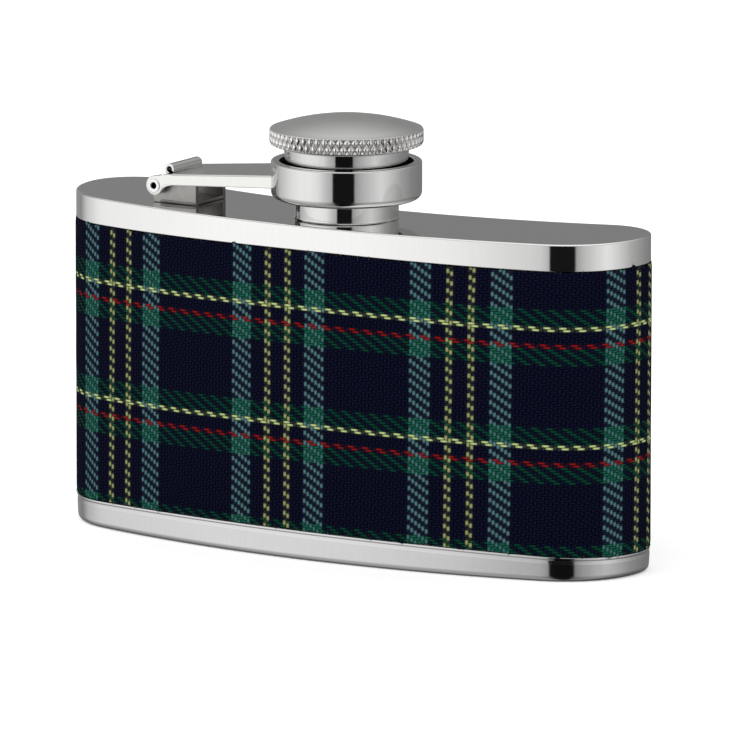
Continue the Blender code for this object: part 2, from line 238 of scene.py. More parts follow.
def makePolished(name, colour, base, smudge, bump=0.012):
    material, tree, shader = newMaterial(name)
    marks = placeGroup(tree, handlingMarks, Base=base, Smudge=smudge)
    worn = placeGroup(tree, edgeWear, Amount=metalMarks["edgeWear"])["Mask"]
    dust = placeGroup(tree, fineDust, Amount=metalMarks["dust"])["Mask"]
    toned = mixColour(tree, 1.0, (*colour, 1), marks["Tone"], "MULTIPLY")
    edged = mixColour(tree, times(tree, worn, 0.5), toned, metalMarks["rubbedTint"])
    dusty = mixColour(tree, dust, edged, metalMarks["dustTint"])
    rough = line(tree, worn, metalMarks["rubbedRough"], marks["Roughness"])
    rough = line(tree, dust, metalMarks["dustRough"], rough)
    finishSurface(tree, shader, dusty, rough, marks["Height"], bump, 0.2)
    shader.inputs["Metallic"].default_value = 1.0
    return material


def makeSatin(name, colour, base, ridged=False):
    material, tree, shader = newMaterial(name)
    grain = placeGroup(tree, blastedGrain, Base=base)
    toned = mixColour(tree, 1.0, (*colour, 1), grain["Tone"], "MULTIPLY")
    worn = placeGroup(tree, edgeWear, Amount=satinMarks["edgeWear"])["Mask"]
    toned = mixColour(tree, times(tree, worn, 0.6), toned, satinMarks["rubbedTint"])
    rough = line(tree, worn, -0.15, grain["Roughness"])
    if ridged:
        cut, floor = readValue(tree, "cut"), readValue(tree, "groove")
        toned = mixColour(tree, cut, toned, satinMarks["cutTint"])
        # painted shade: the knurl's groove floors are darkened near black
        toned = mixColour(tree, times(tree, floor, 0.85), toned, satinMarks["grooveShadeTint"])
        rough = line(tree, cut, satinMarks["cutRough"], rough)
        rough = line(tree, floor, satinMarks["grooveRough"], rough)
    finishSurface(tree, shader, toned, rough, grain["Height"], 0.10, 0.03)
    shader.inputs["Metallic"].default_value = 1.0
    return material


def makeSilicone():
    material, tree, shader = newMaterial("sealSilicone")
    cloud = grainNoise(tree, (1.6, 1.6, 1.6), 3.0)
    tint = ramp(tree, cloud, [(0.3, (0.66, 0.65, 0.61)), (0.7, (0.8, 0.79, 0.76))])
    finishSurface(tree, shader, tint, line(tree, cloud, 0.2, 0.42), cloud, 0.1, 0.1)
    shader.inputs["Subsurface Weight"].default_value = 0.2
    shader.inputs["Subsurface Radius"].default_value = (0.001, 0.0008, 0.0006)
    return material


polishedSteel = makePolished("polishedSteel", (0.80, 0.80, 0.803), 0.035, 0.035)
closureSteel = makePolished("closureSteel", (0.68, 0.68, 0.675), 0.04, 0.04)
# painted shade: a darker copy of the steel for the bottom cup, darker low on the body because of how light
# falls
shadedBaseSteel = makePolished("shadedBaseSteel", (0.61, 0.61, 0.618), 0.06, 0.05)
plateSteel = makePolished("plateSteel", (0.80, 0.795, 0.79), 0.045, 0.03)
hingeSteel = makePolished("hingeSteel", (0.77, 0.765, 0.745), 0.09, 0.06, bump=0.02)
# painted shade: the bracket sits in the arm's shadow, so its steel is painted near black
shadedBracketSteel = makePolished("shadedBracketSteel", (0.115, 0.108, 0.10), 0.18, 0.14, bump=0.03)
# painted shade: dull, near-black steel for the keeper ring's hollow
recessShadeSteel = makePolished("recessShadeSteel", (0.10, 0.095, 0.085), 0.30, 0.10)
springSteel = makePolished("springSteel", (0.62, 0.61, 0.59), 0.22, 0.08)
shellSteel = makePolished("shellSteel", (0.66, 0.66, 0.64), 0.2, 0.08)
satinSteel = makeSatin("satinSteel", (0.66, 0.66, 0.65), 0.25)
knurledSteel = makeSatin("knurledSteel", (0.72, 0.72, 0.71), 0.34, ridged=True)
sealSilicone = makeSilicone()
print("flask: metals ready")


# Mesh building. A part is (points, faces, wear), with wear 1 where an edge rubs bright.

def roundedPath(corners, perArc=4, hold=0.05, closed=True):
    # Corners are (across, up, radius); each becomes an arc with a holding point on both sides.
    path = []
    count = len(corners)
    for i, (a, b, radius) in enumerate(corners):
        here = Vector((a, b))
        if radius <= 0 or (not closed and i in (0, count - 1)):
            path.append((a, b, 0.0))
            continue
        before = Vector(corners[i - 1][:2]) - here
        after = Vector(corners[(i + 1) % count][:2]) - here
        half = before.angle(after) / 2
        cut = min(radius / math.tan(half), 0.46 * before.length, 0.46 * after.length)
        radius = cut * math.tan(half)
        before.normalize()
        after.normalize()
        centre = here + (before + after).normalized() * (radius / math.sin(half))
        start = here + before * cut - centre
        sweep = start.angle_signed(here + after * cut - centre)
        path.append((*(here + before * min(cut + hold, cut * 1.08 + hold / 3)), 0.0))
        for step in range(perArc + 1):
            turn = -sweep * step / perArc
            x = start.x * math.cos(turn) - start.y * math.sin(turn)
            y = start.x * math.sin(turn) + start.y * math.cos(turn)
            path.append((centre.x + x, centre.y + y, 1.0))
        path.append((*(here + after * min(cut + hold, cut * 1.08 + hold / 3)), 0.0))
    return path


def joinRings(rings, closed):
    faces = []
    for low, high in zip(rings, rings[1:] + (rings[:1] if closed else [])):
        for i in range(len(low)):
            j = (i + 1) % len(low)
            face = list(dict.fromkeys((low[i], low[j], high[j], high[i])))
            if len(face) > 2:
                faces.append(face)
    return faces


def onCircle(centre, radius, turn):
    return centre[0] + radius * math.cos(turn), centre[1] + radius * math.sin(turn)


def turned(path, steps=128, axis=(0, 0), shape=None):
    # Turns a closed (radius, height, wear) path about a vertical axis; shape may change a radius.
    points, rings, wear = [], [], []
    for radius, height, worn in path:
        first = len(points)
        if radius < 0.001:
            points.append((axis[0], axis[1], height))
            wear.append(worn)
            rings.append([first] * steps)
            continue
        for i in range(steps):
            turn = fullTurn * i / steps
            r = shape(radius, height, turn) if shape else radius
            points.append((*onCircle(axis, r, turn), height))
            wear.append(worn)
        rings.append(list(range(first, first + steps)))
    return points, joinRings(rings, True), wear


def mergeParts(parts):
    points, faces, wear = [], [], []
    for somePoints, someFaces, someWear in parts:
        first = len(points)
        points += somePoints
        faces += [[first + i for i in face] for face in someFaces]
        wear += someWear
    return points, faces, wear


def makePiece(name, part, material, body, stands=(), sharp=40, fills=(), weighted=True):
    # Fills are lists of rings (a ring is a list of point numbers) that share one flat face.
    points, faces, wear = part
    bm = bmesh.new()
    layer = bm.verts.layers.float.new("wear")
    verts = [bm.verts.new((x * mm, y * mm, z * mm)) for x, y, z in points]
    for vert, worn in zip(verts, wear):
        vert[layer] = worn
    for face in faces:
        bm.faces.new([verts[i] for i in face])
    for rings in fills:
        edges = []
        for ring in rings:
            for i, j in zip(ring, ring[1:] + ring[:1]):
                edges.append(bm.edges.get((verts[i], verts[j])) or bm.edges.new((verts[i], verts[j])))
        bmesh.ops.triangle_fill(bm, edges=edges, use_beauty=True)
    bmesh.ops.remove_doubles(bm, verts=bm.verts, dist=0.0005 * mm)
    bmesh.ops.recalc_face_normals(bm, faces=bm.faces)
    if bm.calc_volume(signed=True) < 0:
        bmesh.ops.reverse_faces(bm, faces=bm.faces)
    mesh = bpy.data.meshes.new(name)
    bm.to_mesh(mesh)
    bm.free()
    mesh.shade_smooth()
    mesh.set_sharp_from_angle(angle=math.radians(sharp))
    mesh.materials.append(material)
    piece = bpy.data.objects.new(name, mesh)
    bpy.context.collection.objects.link(piece)
    if weighted:
        piece.modifiers.new("evenShading", "WEIGHTED_NORMAL").keep_sharp = True
    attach(piece, body)
    if stands:
        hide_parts(*stands)
    return piece


# The body's plan: a bowed outline, measured along its front from the middle.

flaskPlan = {
    "halfWidth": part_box("top_pan")[1].x / mm,
    "thickness": 19.0,
    "frontRadius": 148.0,
    "rearRadius": 126.0,
    "frontCorner": 13.0,
    "rearCorner": 7.4,
    "height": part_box("top_pan")[1].z / mm,
    "stations": (26, 18, 1, 16, 24),  # how finely each stretch is divided
}


def planStretches(plan):
    # Each stretch of the right half is (centre x, centre y, radius, start angle, sweep, outward sign).
    quarter = math.pi / 2
    frontY = plan["frontRadius"] - plan["thickness"] / 2
    rearY = plan["rearRadius"] + plan["thickness"] / 2
    frontX = plan["halfWidth"] - plan["frontCorner"]
    rearX = plan["halfWidth"] - plan["rearCorner"]
    frontReach = plan["frontRadius"] - plan["frontCorner"]
    rearReach = plan["rearRadius"] + plan["rearCorner"]
    frontTurn = math.asin(frontX / frontReach)
    rearTurn = math.asin(rearX / rearReach)
    cornerY = frontY - frontReach * math.cos(frontTurn)
    rearCornerY = rearY - rearReach * math.cos(rearTurn)
    return [
        (0, frontY, plan["frontRadius"], -quarter, frontTurn, 1),
        (frontX, cornerY, plan["frontCorner"], frontTurn - quarter, quarter - frontTurn, 1),
        (plan["halfWidth"], cornerY, None, rearCornerY - cornerY, 0, 1),
        (rearX, rearCornerY, plan["rearCorner"], 0, quarter + rearTurn, 1),
        (0, rearY, plan["rearRadius"], rearTurn - quarter, -rearTurn, -1),
    ]


stretches = planStretches(flaskPlan)
stretchLengths = [s[3] if s[2] is None else abs(s[2] * s[4]) for s in stretches]
halfRound = sum(stretchLengths)  # from the front's middle round one end to the rear's middle


def planAt(along):
    # The outline's point and outward direction at a distance along it, positive to the right.
    along = (along + halfRound) % (2 * halfRound) - halfRound
    side = -1 if along < 0 else 1
    left = abs(along)
    for (x, y, radius, start, sweep, outward), length in zip(stretches, stretchLengths):
        if left <= length + 1e-9 or (x, outward) == (0, -1):
            break
        left -= length
    if radius is None:
        return side * x, y + left, side, 0.0
    turn = start + sweep * min(left / length, 1.0)
    across, back = math.cos(turn), math.sin(turn)
    return (side * (x + radius * across), y + radius * back,
            side * across * outward, back * outward)


def planStations():
    right, start = [0.0], 0.0
    for length, count in zip(stretchLengths, flaskPlan["stations"]):
        right += [start + length * (i + 1) / count for i in range(count)]
        start += length
    return [-s for s in reversed(right[1:-1])] + right


roundStations = planStations()


def planRing(inset, height):
    ring = []
    for along in roundStations:
        x, y, outX, outY = planAt(along)
        ring.append((x - inset * outX, y - inset * outY, height))
    return ring


def sleeve(path, shift):
    # Lofts (inset, height, wear) rings round the plan; shift adds to a height, and depends on x.
    points, rings, wear = [], [], []
    for inset, height, worn in path:
        first = len(points)
        ring = [(x, y, z + shift(x, z)) for x, y, z in planRing(inset, height)]
        points += ring
        wear += [worn] * len(ring)
        rings.append(list(range(first, len(points))))
    return (points, joinRings(rings, False), wear), rings


neckAxis = (sum(p.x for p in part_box("neck")) / 2 / mm, sum(p.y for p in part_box("neck")) / 2 / mm)


# Top pan: a pressed plate with a turned-down rim, holed for the neck.

topPan = {
    "rim": 3.58,  # depth of the rim in the middle of the body
    "rimGrowth": (0.42, 26.0),  # how much deeper the rim is at the ends, and over what width
    "metal": 0.6,
    "skirt": 0.4,
    "edgeRound": 0.28,
    "lipRound": 0.12,
    "foldRound": 0.3,  # inside, where the rim turns down
    "undersideReach": 0.6,  # how far the rings reach in from the rim before the flat fill
    "topReach": 1.6,
    "holeRadius": 6.8,
    "holeSteps": 96,
}


def topRimEdge(x):  # height of the rim's lower edge
    growth, width = topPan["rimGrowth"]
    return flaskPlan["height"] - topPan["rim"] - growth * (1 - math.exp(-(x / width) ** 2))


def makeTopPan():
    top = flaskPlan["height"]
    low = top - topPan["rim"]
    skirt, lip, under = topPan["skirt"], topPan["lipRound"], top - topPan["metal"]
    path = roundedPath([
        (skirt + topPan["undersideReach"], under, 0), (skirt, under, topPan["foldRound"]),
        (skirt, low, lip), (0, low, lip), (0, top, topPan["edgeRound"]), (topPan["topReach"], top, 0)],
        closed=False, perArc=5)
    (points, faces, wear), rings = sleeve(path, lambda x, z: topRimEdge(x) - low if z < low + 0.5 else 0.0)
    holes = []
    for height in (under, top):
        first = len(points)
        for i in range(topPan["holeSteps"]):
            turn = fullTurn * i / topPan["holeSteps"]
            points.append((*onCircle(neckAxis, topPan["holeRadius"], turn), height))
            wear.append(0.0)
        holes.append(list(range(first, len(points))))
    faces += joinRings(holes, False)
    return makePiece("top_plate", (points, faces, wear), plateSteel, "flask",
                     ["top_pan"], fills=[(rings[0], holes[0]), (rings[-1], holes[1])])


makeTopPan()


# Bottom pan: a cup with a slight draft, a rolled lip under the cloth and a stamped foot.

bottomPan = {
    "rim": 4.1,
    "rimBow": (0.32, 0.00034, -7.0),  # rise of the rim's upper edge, its fall per square mm, and its peak
    "metal": 0.5,
    "draft": 0.14,  # how much narrower the pan is at its foot
    "footRound": 0.9,
    "recess": 0.25,
    "recessInset": 3.4,
    "lip": ((0.42, -0.55, 0.2), (0.38, 0.0, 0.1), (0.0, 0.0, 0.16), (0.0, -0.28, 0.1), (0.09, -0.5, 0.2),
            (0.02, -0.95, 0.3)),  # inset, height from the rim's edge, radius
}


def bottomRimEdge(x):  # height of the rim's upper edge
    rise, fall, peak = bottomPan["rimBow"]
    return bottomPan["rim"] + rise - fall * (x - peak) ** 2


def makeBottomPan():
    rim, draft, metal = bottomPan["rim"], bottomPan["draft"], bottomPan["metal"]
    inset, depth = bottomPan["recessInset"], bottomPan["recess"]
    path = roundedPath([
        (inset + 0.8, depth + metal, 0), (inset, depth + metal, 0.2), (inset - 0.4, metal + 0.02, 0.2),
        (draft + metal, metal, 0.8), *((a, rim + up, radius) for a, up, radius in bottomPan["lip"]),
        (draft, 0.0, bottomPan["footRound"]), (inset - 0.2, 0.0, 0.2), (inset + 0.1, depth, 0.2),
        (inset + 0.8, depth, 0)], closed=False, perArc=5)
    part, rings = sleeve(path, lambda x, z: bottomRimEdge(x) - rim if z > rim - 1.2 else 0.0)
    # the bottom cup takes the darker steel of painted shade
    return makePiece("bottom_cup", part, shadedBaseSteel, "flask", ["bottom_pan"],
                     fills=[(rings[0],), (rings[-1],)])


makeBottomPan()
print("flask: pans pressed")


# Neck: a soldered collar under a threaded spout.

neckSpout = {
    "bore": 5.3,
    "collar": 7.6,
    "collarTop": 52.7,
    "threadRoot": 6.85,
    "threadCrest": 7.24,
    "pitch": 1.5,
    "threadSpan": (53.1, 56.1),
    "top": 56.5,
    "solder": ((0.14, 0.02, 0), (0.04, 0.16, 0.06), (0.0, 0.3, 0.1)),  # out, up from the plate, radius
    "flange": (7.2, 47.6, 48.3),  # under the plate: radius, low, high
    "spigot": 6.5,
}


def threadProfile(height, turn, pitch):
    share = (height / pitch - turn / fullTurn) % 1.0
    return min(1.0, max(0.0, 2.2 * (1 - abs(2 * share - 1)) - 0.45))


def makeNeck():
    plate = flaskPlan["height"]
    bore, collar, root, top = (neckSpout[key] for key in ("bore", "collar", "threadRoot", "top"))
    spigot, collarTop = neckSpout["spigot"], neckSpout["collarTop"]
    flange, foot, flangeTop = neckSpout["flange"]
    low, high = neckSpout["threadSpan"]
    bead = [(collar + out, plate + up, radius) for out, up, radius in neckSpout["solder"]]
    path = roundedPath([
        (bore, foot, 0.2), (flange, foot, 0.1), (flange, flangeTop, 0.1), (spigot, flangeTop + 0.05, 0.05),
        (spigot, plate + 0.02, 0), *bead, (collar, collarTop, 0.3), (root, collarTop, 0.12)])
    rows = 46
    path += [(root, low + (high - low) * i / rows, 0.4) for i in range(rows + 1)]
    mouth = [(root, high, 0), (root, top, 0.3), (bore, top, 0.25), (bore, foot, 0)]
    path += roundedPath(mouth, closed=False)[1:-1]

    def withThread(radius, height, turn):
        if abs(radius - root) > 0.001 or not low < height < high:
            return radius
        fade = min(1.0, (height - low) / 0.5, (high - height) / 0.5)
        thread = threadProfile(height, turn, neckSpout["pitch"])
        return radius + (neckSpout["threadCrest"] - root) * fade * thread

    part = turned(path, 144, neckAxis, withThread)
    return makePiece("neck_spout", part, closureSteel, "flask", ["neck"], weighted=False)


makeNeck()


# Cap: a knurled, domed head on a threaded core with a soft seal inside.

capHead = {
    "radius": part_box("cap_shell")[1].x / mm - neckAxis[0],
    "wall": 0.9,
    "low": 60.0,
    "bandTop": 62.15,
    "shoulder": (11.0, 62.35),
    "top": 64.2,
    "ridges": 62,
    "ridgeDepth": 0.33,
    "lean": 0.51,  # ridges crossed per millimetre of height
    "footRoll": (0.55, 0.45),  # how far the lower edge rolls in and up
    "ceiling": ((0, 62.6), (7.0, 62.0)),  # the hollow underside, inside the socket
    "ceilingEdge": (61.2, 61.5),
}
capCore = {
    "radius": 8.1,
    "bore": 7.4,
    "threadCrest": 7.28,
    "low": 53.2,
    "roof": 58.4,
    "groove": (7.8, 53.7, 54.9),
    "flare": ((8.1, 56.95, 0.3), (8.95, 57.0, 0.35), (9.1, 59.75, 0.3), (10.2, 59.97, 0.1)),
    "top": 61.0,
}

capGasket = {
    "radius": 7.2,
    "groove": ((4.0, 4.4), (6.2, 6.6)),  # inner and outer side of the ring pressed into its face
    "grooveDepth": 0.12,
}


def makeCapHead():
    radius, low, band = capHead["radius"], capHead["low"], capHead["bandTop"]
    shoulderRadius, shoulderTop = capHead["shoulder"]
    inner = radius - capHead["wall"]
    rollIn, rollUp = capHead["footRoll"]
    wallTop, ceilingLow = capHead["ceilingEdge"]
    outline = [(inner, wallTop), (inner, low), (radius - rollIn, low)]
    for degrees in (18, 36, 54, 72, 90):
        a = math.radians(degrees)
        outline.append((radius - rollIn * (1 - math.sin(a)), low + rollUp * (1 - math.cos(a))))
    rows = 15
    outline += [(radius, low + rollUp + (band - 0.2 - low - rollUp) * i / rows) for i in range(1, rows + 1)]
    for i in range(1, 9):  # rolls over the shoulder
        share = i / 8
        outline.append((radius - (radius - shoulderRadius) * share ** 1.6,
                        band - 0.2 + (shoulderTop - band + 0.2) * math.sin(share * math.pi / 2) ** 0.9))
    rise = capHead["top"] - shoulderTop
    ball = (shoulderRadius ** 2 + rise ** 2) / (2 * rise)
    for i in range(1, 13):
        reach = shoulderRadius * (1 - i / 12)
        outline.append((reach, capHead["top"] - ball + math.sqrt(ball ** 2 - reach ** 2)))
    outline += [*capHead["ceiling"], (inner - 1.2, ceilingLow)]

    def ridgeAt(height, turn):
        count, lean = capHead["ridges"] * turn / fullTurn, capHead["lean"] * height
        return min(1.0, 1.7 * min(1 - abs(2 * (share % 1.0) - 1) for share in (count + lean, count - lean)))

    def fadeAt(height):
        return max(0.0, min(1.0, (height - low - 0.02) / 0.25, (shoulderTop - height) / 0.3))

    def knurled(r, height, turn):
        if r < shoulderRadius - 0.3 or r <= inner:
            return r
        return r - capHead["ridgeDepth"] * fadeAt(height) * (1 - ridgeAt(height, turn))

    part = turned([(r, z, 0.0) for r, z in outline], capHead["ridges"] * 8, neckAxis, knurled)
    piece = makePiece("cap_head", part, satinSteel, "cap", ["cap_shell"],
                      weighted=False, sharp=70)
    mesh = piece.data
    mesh.materials.append(knurledSteel)
    cut = mesh.attributes.new("cut", "FLOAT", "POINT")
    groove = mesh.attributes.new("groove", "FLOAT", "POINT")
    for i, vertex in enumerate(mesh.vertices):
        x, y, z = vertex.co.x / mm - neckAxis[0], vertex.co.y / mm - neckAxis[1], vertex.co.z / mm
        if math.hypot(x, y) > shoulderRadius - 0.4 and z < shoulderTop + 0.01:
            ridge = ridgeAt(z, math.atan2(y, x) % fullTurn)
            cut.data[i].value = fadeAt(z)
            # the groove mask marks the knurl's floors, where shade is painted dark
            groove.data[i].value = fadeAt(z) * max(0.0, 1 - 2.2 * ridge)
    for face in mesh.polygons:
        centre = face.center / mm
        out = math.hypot(centre.x - neckAxis[0], centre.y - neckAxis[1])
        if out > shoulderRadius - 0.35 and centre.z < shoulderTop:
            face.material_index = 1
    return piece


def makeCapCore():
    radius, bore, low, roof, top = (capCore[key] for key in ("radius", "bore", "low", "roof", "top"))
    grooveRadius, grooveLow, grooveHigh = capCore["groove"]
    corners = [
        (bore, low, 0.15), (radius, low, 0.2), (radius, grooveLow, 0.08), (grooveRadius, grooveLow, 0.05),
        (grooveRadius, grooveHigh, 0.05), (radius, grooveHigh, 0.08), *capCore["flare"],
        (capCore["flare"][-1][0], top, 0.15), (0, top, 0)]
    path = roundedPath(corners)
    path += [(0, roof, 0.0), (bore - 0.4, roof, 0.0), (bore, roof - 0.2, 0.0)]
    rows = 50
    path += [(bore, roof - 0.3 - (roof - 0.3 - low - 0.3) * i / rows, 0.3) for i in range(rows + 1)]

    def threaded(r, height, turn):
        if abs(r - bore) > 0.001:
            return r
        fade = max(0.0, min(1.0, (height - low - 0.3) / 0.4, (roof - 0.5 - height) / 0.4))
        # half a pitch off the spout's thread, so that the two mesh
        thread = threadProfile(height + neckSpout["pitch"] / 2, turn, neckSpout["pitch"])
        return r - (bore - capCore["threadCrest"]) * fade * thread

    part = turned(path, 144, neckAxis, threaded)
    return makePiece("cap_socket", part, closureSteel, "cap", ["cap_core"],
                     weighted=False)


def makeCapSeal():
    low, high = (corner.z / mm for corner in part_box("cap_seal"))
    radius, floor = capGasket["radius"], low + capGasket["grooveDepth"]
    (nearLip, nearFloor), (farFloor, farLip) = capGasket["groove"]
    path = roundedPath([
        (0, low, 0), (nearLip, low, 0.1), (nearFloor, floor, 0.1), (farFloor, floor, 0.1),
        (farLip, low, 0.1), (radius, low, 0.3), (radius, high, 0.2), (0, high, 0)])
    part = turned(path, 96, neckAxis)
    return makePiece("cap_gasket", part, sealSilicone, "cap", ["cap_seal"])


makeCapHead()
makeCapCore()
makeCapSeal()
print("flask: cap knurled and threaded")


# Retaining ring: a rolled cup that keeps the cap on the arm.

holdingRing = {
    "radius": 11.0,
    "wall": 0.7,
    "span": (52.05, 57.65),
    "lip": 9.75,
    "hole": 8.25,
    "footRound": 1.1,
    "topRound": 0.32,
}


def makeRing():
    radius, wall = holdingRing["radius"], holdingRing["wall"]
    low, high = holdingRing["span"]
    inner, lip, hole = radius - wall, holdingRing["lip"], holdingRing["hole"]
    corners = [
        (hole, low, 0.15), (radius, low, holdingRing["footRound"]), (radius, high, holdingRing["topRound"]),
        (lip, high, 0.2), (lip, high - wall, 0.12), (inner, high - wall, 0.1), (inner, low + wall, 0.5),
        (hole, low + wall, 0.1)]
    part = turned(roundedPath(corners, perArc=6), 160, neckAxis)
    piece = makePiece("keeper_ring", part, closureSteel, "arm", ["retaining_ring"])
    piece.data.materials.append(recessShadeSteel)
    for face in piece.data.polygons:  # the hollow behind the lip gets dull, near-black steel, as painted shade
        x, y, z = (value / mm for value in face.center)
        out = math.hypot(x - neckAxis[0], y - neckAxis[1])
        if out < inner + 0.05 and low + wall - 0.05 < z < high - 0.25:
            face.material_index = 1
    return piece


makeRing()


# Flat sheet parts, drawn as an outline and given a thickness with rounded edges.

def insetOutline(outline, inset):
    moved = []
    count = len(outline)
    area = sum(outline[i][0] * outline[(i + 1) % count][1] - outline[(i + 1) % count][0] * outline[i][1]
               for i in range(count))
    side = 1 if area > 0 else -1
    for i in range(count):
        before = (Vector(outline[i]) - Vector(outline[i - 1])).normalized()
        after = (Vector(outline[(i + 1) % count]) - Vector(outline[i])).normalized()
        inward = Vector((-(before.y + after.y), before.x + after.x)) * side
        scale = max(0.35, inward.length / 2)
        inward.normalize()
        moved.append((outline[i][0] + inward.x * inset / scale, outline[i][1] + inward.y * inset / scale))
    return moved


def flatPart(outline, depth, edge, place, hole=None):
    # Returns the part and its flat fills; hole is (centre, radius, steps).
    points, wear, rings, holes = [], [], [], []
    near, far = depth
    levels = [(near + edge * (1 - math.cos(math.radians(a))), edge * (1 - math.sin(math.radians(a))))
              for a in (0, 30, 60, 90)]
    levels += [(far - (level - near), inset) for level, inset in reversed(levels)]
    for level, inset in levels:
        first = len(points)
        points += [place(a, b, level) for a, b in insetOutline(outline, inset)]
        wear += [1.0 if inset > 0 else 0.4] * len(outline)
        rings.append(list(range(first, len(points))))
    faces = joinRings(rings, False)
    if hole:
        centre, radius, steps = hole
        for level in (near, far):
            first = len(points)
            points += [place(*onCircle(centre, radius, fullTurn * i / steps), level) for i in range(steps)]
            wear += [1.0] * steps
            holes.append(list(range(first, len(points))))
        faces += joinRings(holes, False)
    fills = [(rings[0], *holes[:1]), (rings[-1], *holes[1:])]
    return (points, faces, wear), fills


def addFlat(parts, fills, *shape):  # the fills are renumbered to follow the parts before
    part, partFills = flatPart(*shape)
    first = sum(len(points) for points, _, _ in parts)
    fills += [[[first + i for i in ring] for ring in rings] for rings in partFills]
    parts.append(part)


def arcPoints(centre, radius, start, end, steps):
    turns = (math.radians(start + (end - start) * i / steps) for i in range(steps + 1))
    return [onCircle(centre, radius, turn) for turn in turns]


# Swing arm: a folded channel with two ears on the pin and a rolled end above them.

swingArm = {
    "pin": (-28.13, 52.02),
    "halfWidth": 5.6,
    "taper": 0.065,
    "sheet": 0.7,
    "from": -26.4,
    "topAt": (53.85, 0.092),
    "bottomAt": (52.2, 0.078),
    "foldRound": 0.34,
    "earRadius": 1.45,
    "pinHole": 0.92,
    "curl": (-26.55, 54.3, 0.85, 0.42),  # middle, outer and inner radius
    "curlReach": 3.9,
    "ringOverlap": 0.35,  # how far the arm's end goes into the ring's wall
    "earShoulder": (0.95, 1.6),  # from the pin
    "earThroat": ((1.65, -0.25), (2.15, 0.04)),
}


def armHalfWidth(x):
    return swingArm["halfWidth"] + swingArm["taper"] * (x - swingArm["pin"][0])


def armHeight(edge, x):  # the edge is topAt or bottomAt
    height, slope = swingArm[edge]
    return height + slope * (x - swingArm["from"])


def onSide(side, reach):  # places a plate's outline upright, reach(x) out from the arm's middle plane
    return lambda a, b, level: (a, neckAxis[1] + side * (reach(a) - level), b)


def makeArm():
    sheet, start = swingArm["sheet"], swingArm["from"]
    ringReach = holdingRing["radius"] - swingArm["ringOverlap"]
    rings, points, wear = [], [], []
    stations = 14
    for k in range(stations + 1):
        share = k / stations
        x = start + (-8.6 - start) * share
        half, top, low = armHalfWidth(x), armHeight("topAt", x), armHeight("bottomAt", x)
        section = roundedPath([
            (-half, low, 0.14), (-half, top, swingArm["foldRound"]), (half, top, swingArm["foldRound"]),
            (half, low, 0.14), (half - sheet, low, 0.14), (half - sheet, top - sheet, 0.2),
            (-half + sheet, top - sheet, 0.2), (-half + sheet, low, 0.14)])
        first = len(points)
        for y, z, worn in section:
            end = neckAxis[0] - math.sqrt(ringReach ** 2 - y ** 2)
            points.append((start + (end - start) * share, neckAxis[1] + y, z))
            wear.append(worn)
        rings.append(list(range(first, len(points))))
    parts = [(points, joinRings(rings, False), wear)]
    fills = [(rings[0],), (rings[-1],)]
    pinX, pinZ = pin = swingArm["pin"]
    joinX, startTop = start + 1.6, armHeight("topAt", start)
    shoulderX, shoulderZ = swingArm["earShoulder"]
    ear = [(joinX, armHeight("topAt", joinX) - 0.06), (start + 0.1, startTop - 0.06),
           (start - 0.1, startTop - 0.01), (pinX + shoulderX, pinZ + shoulderZ)]
    ear += arcPoints(pin, swingArm["earRadius"], 96, 338, 30)
    ear += [(pinX + x, pinZ + z) for x, z in swingArm["earThroat"]]
    ear.append((joinX, armHeight("bottomAt", joinX) + 0.03))
    for side in (-1, 1):
        addFlat(parts, fills, ear, (0.01, sheet), 0.12, onSide(side, armHalfWidth),
                (pin, swingArm["pinHole"], 28))
    curlX, curlZ, outer, inner = swingArm["curl"]
    roll = arcPoints((curlX, curlZ), outer, -95, -385, 30) + arcPoints((curlX, curlZ), inner, -385, -95, 20)
    reach = swingArm["curlReach"]
    addFlat(parts, fills, roll, (-reach, reach), 0.1, lambda a, b, level: (a, neckAxis[1] + level, b))
    return makePiece("arm_channel", mergeParts(parts), hingeSteel, "arm", ["swing_arm"],
                     fills=fills)


# Hinge bracket: a small welded clevis that the arm's ears straddle.

hingeBracket = {
    "span": (-29.4, -21.8),
    "halfWidth": 4.1,
    "sheet": 0.8,
    "lugRadius": 1.35,
    "top": (52.4, 52.7),  # the cheek's upper edge rises from the first height to the second
    "footSheet": 0.55,
}


def makeBracket():
    low = flaskPlan["height"] + 0.02
    first, last = hingeBracket["span"]
    half, sheet = hingeBracket["halfWidth"], hingeBracket["sheet"]
    frontTop, rearTop = hingeBracket["top"]
    pin = swingArm["pin"]
    cheek = [(last, low), (first + 0.2, low)] + arcPoints(pin, hingeBracket["lugRadius"], 190, 60, 16)
    cheek += [(first + 2.5, frontTop), (last, rearTop)]
    parts, fills = [], []
    for side in (-1, 1):
        addFlat(parts, fills, cheek, (0.0, sheet), 0.14, onSide(side, lambda x: half),
                (pin, swingArm["pinHole"], 28))
    foot = roundedPath([(first + 0.05, -half - 0.1, 1.8), (last, -half - 0.1, 0.3), (last, half + 0.1, 0.3),
                        (first + 0.05, half + 0.1, 1.8)])
    addFlat(parts, fills, [(a, b) for a, b, _ in foot], (0.0, hingeBracket["footSheet"]), 0.25,
            lambda a, b, level: (a, neckAxis[1] + b, low + level))
    # the clevis takes the near-black steel of painted shade
    return makePiece("hinge_clevis", mergeParts(parts), shadedBracketSteel, "flask",
                     ["hinge_bracket"], fills=fills)


# Hinge pin: a hollow rivet with flared ends.

hingePin = {
    "radius": 0.8,
    "bore": 0.45,
    "head": 1.02,
    "proud": 0.17,
}


